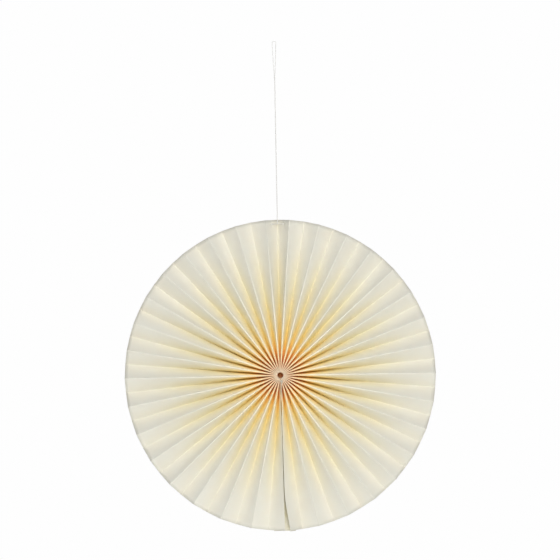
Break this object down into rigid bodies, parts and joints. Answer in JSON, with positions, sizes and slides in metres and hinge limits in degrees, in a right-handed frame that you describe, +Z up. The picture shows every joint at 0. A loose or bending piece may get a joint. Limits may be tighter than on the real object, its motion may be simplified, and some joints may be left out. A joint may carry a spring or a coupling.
{
  "type": "hanging pleated paper rosette",
  "caption": "Round pleated paper rosette in cream, gathered at the hub, joined at one seam and hung on a thin white thread.",
  "frame": {"origin": "inside top of the hanging loop, where the nail or hook bears", "axes": "+Z up along the thread, -Y out of the rosette's front face, +X to the viewer's right"},
  "size_m": [0.3012, 0.0213, 0.4732],
  "materials": {
    "cream_paper": "matte",
    "white_thread": "matte",
    "gathering_cotton": "matte",
    "adhesive_tape": "satin"
  },
  "bodies": {
    "thread": {"hanging_loop": "white_thread", "loop_knot": "white_thread", "hanging_thread": "white_thread"},
    "tie": {"tie_knot": "white_thread", "tie_strand": "white_thread", "tie_stopper_left": "white_thread", "tie_stopper_right": "white_thread"},
    "rosette": {"pleat_top": "cream_paper", "gathering_thread": "gathering_cotton", "gathering_knot": "gathering_cotton", "gathering_tail": "gathering_cotton", "hub_patch": "cream_paper"},
    "pleat_right_01": {"pleat_right_01": "cream_paper"},
    "pleat_right_02": {"pleat_right_02": "cream_paper"},
    "pleat_right_03": {"pleat_right_03": "cream_paper"},
    "pleat_right_04": {"pleat_right_04": "cream_paper"},
    "pleat_right_05": {"pleat_right_05": "cream_paper"},
    "pleat_right_06": {"pleat_right_06": "cream_paper"},
    "pleat_right_07": {"pleat_right_07": "cream_paper"},
    "pleat_right_08": {"pleat_right_08": "cream_paper"},
    "pleat_right_09": {"pleat_right_09": "cream_paper"},
    "pleat_right_10": {"pleat_right_10": "cream_paper"},
    "pleat_right_11": {"pleat_right_11": "cream_paper"},
    "pleat_right_12": {"pleat_right_12": "cream_paper"},
    "pleat_right_13": {"pleat_right_13": "cream_paper"},
    "pleat_right_14": {"pleat_right_14": "cream_paper"},
    "pleat_right_15": {"pleat_right_15": "cream_paper"},
    "pleat_right_16": {"pleat_right_16": "cream_paper", "joining_flap": "cream_paper", "seam_tape": "adhesive_tape"},
    "pleat_left_01": {"pleat_left_01": "cream_paper"},
    "pleat_left_02": {"pleat_left_02": "cream_paper"},
    "pleat_left_03": {"pleat_left_03": "cream_paper"},
    "pleat_left_04": {"pleat_left_04": "cream_paper"},
    "pleat_left_05": {"pleat_left_05": "cream_paper"},
    "pleat_left_06": {"pleat_left_06": "cream_paper"},
    "pleat_left_07": {"pleat_left_07": "cream_paper"},
    "pleat_left_08": {"pleat_left_08": "cream_paper"},
    "pleat_left_09": {"pleat_left_09": "cream_paper"},
    "pleat_left_10": {"pleat_left_10": "cream_paper"},
    "pleat_left_11": {"pleat_left_11": "cream_paper"},
    "pleat_left_12": {"pleat_left_12": "cream_paper"},
    "pleat_left_13": {"pleat_left_13": "cream_paper"},
    "pleat_left_14": {"pleat_left_14": "cream_paper"},
    "pleat_left_15": {"pleat_left_15": "cream_paper"},
    "pleat_left_16": {"pleat_left_16": "cream_paper"}
  },
  "joints": [
    {"name": "rosette_turn", "type": "hinge", "parent": "thread", "child": "tie", "pos_m": [0, 0, -0.1754], "axis": [0, 0, 1], "continuous": true},
    {"name": "rosette_nod", "type": "hinge", "parent": "tie", "child": "rosette", "pos_m": [0, 0, -0.1754], "axis": [1, 0, 0], "range_deg": [-60, 50]},
    {"name": "fold_right_01", "type": "hinge", "parent": "rosette", "child": "pleat_right_01", "pos_m": [0, 0, -0.3214], "axis": [0, -1, 0], "range_deg": [0, 5.36], "deforming": ["pleat_right_01"]},
    {"name": "fold_right_02", "type": "hinge", "parent": "rosette", "child": "pleat_right_02", "pos_m": [0, 0, -0.3214], "axis": [0, -1, 0], "range_deg": [0, 15.97], "deforming": ["pleat_right_02"]},
    {"name": "fold_right_03", "type": "hinge", "parent": "rosette", "child": "pleat_right_03", "pos_m": [0, 0, -0.3214], "axis": [0, -1, 0], "range_deg": [0, 26.42], "deforming": ["pleat_right_03"]},
    {"name": "fold_right_04", "type": "hinge", "parent": "rosette", "child": "pleat_right_04", "pos_m": [0, 0, -0.3214], "axis": [0, -1, 0], "range_deg": [0, 36.73], "deforming": ["pleat_right_04"]},
    {"name": "fold_right_05", "type": "hinge", "parent": "rosette", "child": "pleat_right_05", "pos_m": [0, 0, -0.3214], "axis": [0, -1, 0], "range_deg": [0, 46.93], "deforming": ["pleat_right_05"]},
    {"name": "fold_right_06", "type": "hinge", "parent": "rosette", "child": "pleat_right_06", "pos_m": [0, 0, -0.3214], "axis": [0, -1, 0], "range_deg": [0, 57.06], "deforming": ["pleat_right_06"]},
    {"name": "fold_right_07", "type": "hinge", "parent": "rosette", "child": "pleat_right_07", "pos_m": [0, 0, -0.3214], "axis": [0, -1, 0], "range_deg": [0, 67.17], "deforming": ["pleat_right_07"]},
    {"name": "fold_right_08", "type": "hinge", "parent": "rosette", "child": "pleat_right_08", "pos_m": [0, 0, -0.3214], "axis": [0, -1, 0], "range_deg": [0, 77.26], "deforming": ["pleat_right_08"]},
    {"name": "fold_right_09", "type": "hinge", "parent": "rosette", "child": "pleat_right_09", "pos_m": [0, 0, -0.3214], "axis": [0, -1, 0], "range_deg": [0, 87.4], "deforming": ["pleat_right_09"]},
    {"name": "fold_right_10", "type": "hinge", "parent": "rosette", "child": "pleat_right_10", "pos_m": [0, 0, -0.3214], "axis": [0, -1, 0], "range_deg": [0, 97.6], "deforming": ["pleat_right_10"]},
    {"name": "fold_right_11", "type": "hinge", "parent": "rosette", "child": "pleat_right_11", "pos_m": [0, 0, -0.3214], "axis": [0, -1, 0], "range_deg": [0, 107.91], "deforming": ["pleat_right_11"]},
    {"name": "fold_right_12", "type": "hinge", "parent": "rosette", "child": "pleat_right_12", "pos_m": [0, 0, -0.3214], "axis": [0, -1, 0], "range_deg": [0, 118.35], "deforming": ["pleat_right_12"]},
    {"name": "fold_right_13", "type": "hinge", "parent": "rosette", "child": "pleat_right_13", "pos_m": [0, 0, -0.3214], "axis": [0, -1, 0], "range_deg": [0, 128.97], "deforming": ["pleat_right_13"]},
    {"name": "fold_right_14", "type": "hinge", "parent": "rosette", "child": "pleat_right_14", "pos_m": [0, 0, -0.3214], "axis": [0, -1, 0], "range_deg": [0, 139.8], "deforming": ["pleat_right_14"]},
    {"name": "fold_right_15", "type": "hinge", "parent": "rosette", "child": "pleat_right_15", "pos_m": [0, 0, -0.3214], "axis": [0, -1, 0], "range_deg": [0, 150.86], "deforming": ["pleat_right_15"]},
    {"name": "fold_right", "type": "hinge", "parent": "rosette", "child": "pleat_right_16", "pos_m": [0, 0, -0.3214], "axis": [0, -1, 0], "range_deg": [0, 162.21], "deforming": ["pleat_right_16"]},
    {"name": "fold_left_01", "type": "hinge", "parent": "rosette", "child": "pleat_left_01", "pos_m": [0, 0, -0.3214], "axis": [0, 1, 0], "range_deg": [0, 5.36], "deforming": ["pleat_left_01"]},
    {"name": "fold_left_02", "type": "hinge", "parent": "rosette", "child": "pleat_left_02", "pos_m": [0, 0, -0.3214], "axis": [0, 1, 0], "range_deg": [0, 15.97], "deforming": ["pleat_left_02"]},
    {"name": "fold_left_03", "type": "hinge", "parent": "rosette", "child": "pleat_left_03", "pos_m": [0, 0, -0.3214], "axis": [0, 1, 0], "range_deg": [0, 26.42], "deforming": ["pleat_left_03"]},
    {"name": "fold_left_04", "type": "hinge", "parent": "rosette", "child": "pleat_left_04", "pos_m": [0, 0, -0.3214], "axis": [0, 1, 0], "range_deg": [0, 36.73], "deforming": ["pleat_left_04"]},
    {"name": "fold_left_05", "type": "hinge", "parent": "rosette", "child": "pleat_left_05", "pos_m": [0, 0, -0.3214], "axis": [0, 1, 0], "range_deg": [0, 46.93], "deforming": ["pleat_left_05"]},
    {"name": "fold_left_06", "type": "hinge", "parent": "rosette", "child": "pleat_left_06", "pos_m": [0, 0, -0.3214], "axis": [0, 1, 0], "range_deg": [0, 57.06], "deforming": ["pleat_left_06"]},
    {"name": "fold_left_07", "type": "hinge", "parent": "rosette", "child": "pleat_left_07", "pos_m": [0, 0, -0.3214], "axis": [0, 1, 0], "range_deg": [0, 67.17], "deforming": ["pleat_left_07"]},
    {"name": "fold_left_08", "type": "hinge", "parent": "rosette", "child": "pleat_left_08", "pos_m": [0, 0, -0.3214], "axis": [0, 1, 0], "range_deg": [0, 77.26], "deforming": ["pleat_left_08"]},
    {"name": "fold_left_09", "type": "hinge", "parent": "rosette", "child": "pleat_left_09", "pos_m": [0, 0, -0.3214], "axis": [0, 1, 0], "range_deg": [0, 87.4], "deforming": ["pleat_left_09"]},
    {"name": "fold_left_10", "type": "hinge", "parent": "rosette", "child": "pleat_left_10", "pos_m": [0, 0, -0.3214], "axis": [0, 1, 0], "range_deg": [0, 97.6], "deforming": ["pleat_left_10"]},
    {"name": "fold_left_11", "type": "hinge", "parent": "rosette", "child": "pleat_left_11", "pos_m": [0, 0, -0.3214], "axis": [0, 1, 0], "range_deg": [0, 107.91], "deforming": ["pleat_left_11"]},
    {"name": "fold_left_12", "type": "hinge", "parent": "rosette", "child": "pleat_left_12", "pos_m": [0, 0, -0.3214], "axis": [0, 1, 0], "range_deg": [0, 118.35], "deforming": ["pleat_left_12"]},
    {"name": "fold_left_13", "type": "hinge", "parent": "rosette", "child": "pleat_left_13", "pos_m": [0, 0, -0.3214], "axis": [0, 1, 0], "range_deg": [0, 128.97], "deforming": ["pleat_left_13"]},
    {"name": "fold_left_14", "type": "hinge", "parent": "rosette", "child": "pleat_left_14", "pos_m": [0, 0, -0.3214], "axis": [0, 1, 0], "range_deg": [0, 139.8], "deforming": ["pleat_left_14"]},
    {"name": "fold_left_15", "type": "hinge", "parent": "rosette", "child": "pleat_left_15", "pos_m": [0, 0, -0.3214], "axis": [0, 1, 0], "range_deg": [0, 150.86], "deforming": ["pleat_left_15"]},
    {"name": "fold_left", "type": "hinge", "parent": "rosette", "child": "pleat_left_16", "pos_m": [0, 0, -0.3214], "axis": [0, 1, 0], "range_deg": [0, 162.21], "deforming": ["pleat_left_16"]}
  ],
  "couplings": [
    {"joint": "fold_right_01", "follows": "fold_right", "ratio": 0.033023},
    {"joint": "fold_right_02", "follows": "fold_right", "ratio": 0.098482},
    {"joint": "fold_right_03", "follows": "fold_right", "ratio": 0.16288},
    {"joint": "fold_right_04", "follows": "fold_right", "ratio": 0.22642},
    {"joint": "fold_right_05", "follows": "fold_right", "ratio": 0.28932},
    {"joint": "fold_right_06", "follows": "fold_right", "ratio": 0.3518},
    {"joint": "fold_right_07", "follows": "fold_right", "ratio": 0.41406},
    {"joint": "fold_right_08", "follows": "fold_right", "ratio": 0.47632},
    {"joint": "fold_right_09", "follows": "fold_right", "ratio": 0.5388},
    {"joint": "fold_right_10", "follows": "fold_right", "ratio": 0.6017},
    {"joint": "fold_right_11", "follows": "fold_right", "ratio": 0.66525},
    {"joint": "fold_right_12", "follows": "fold_right", "ratio": 0.72964},
    {"joint": "fold_right_13", "follows": "fold_right", "ratio": 0.7951},
    {"joint": "fold_right_14", "follows": "fold_right", "ratio": 0.86184},
    {"joint": "fold_right_15", "follows": "fold_right", "ratio": 0.93007},
    {"joint": "fold_left_01", "follows": "fold_left", "ratio": 0.033023},
    {"joint": "fold_left_02", "follows": "fold_left", "ratio": 0.098482},
    {"joint": "fold_left_03", "follows": "fold_left", "ratio": 0.16288},
    {"joint": "fold_left_04", "follows": "fold_left", "ratio": 0.22642},
    {"joint": "fold_left_05", "follows": "fold_left", "ratio": 0.28932},
    {"joint": "fold_left_06", "follows": "fold_left", "ratio": 0.3518},
    {"joint": "fold_left_07", "follows": "fold_left", "ratio": 0.41406},
    {"joint": "fold_left_08", "follows": "fold_left", "ratio": 0.47632},
    {"joint": "fold_left_09", "follows": "fold_left", "ratio": 0.5388},
    {"joint": "fold_left_10", "follows": "fold_left", "ratio": 0.6017},
    {"joint": "fold_left_11", "follows": "fold_left", "ratio": 0.66525},
    {"joint": "fold_left_12", "follows": "fold_left", "ratio": 0.72964},
    {"joint": "fold_left_13", "follows": "fold_left", "ratio": 0.7951},
    {"joint": "fold_left_14", "follows": "fold_left", "ratio": 0.86184},
    {"joint": "fold_left_15", "follows": "fold_left", "ratio": 0.93007}
  ]
}
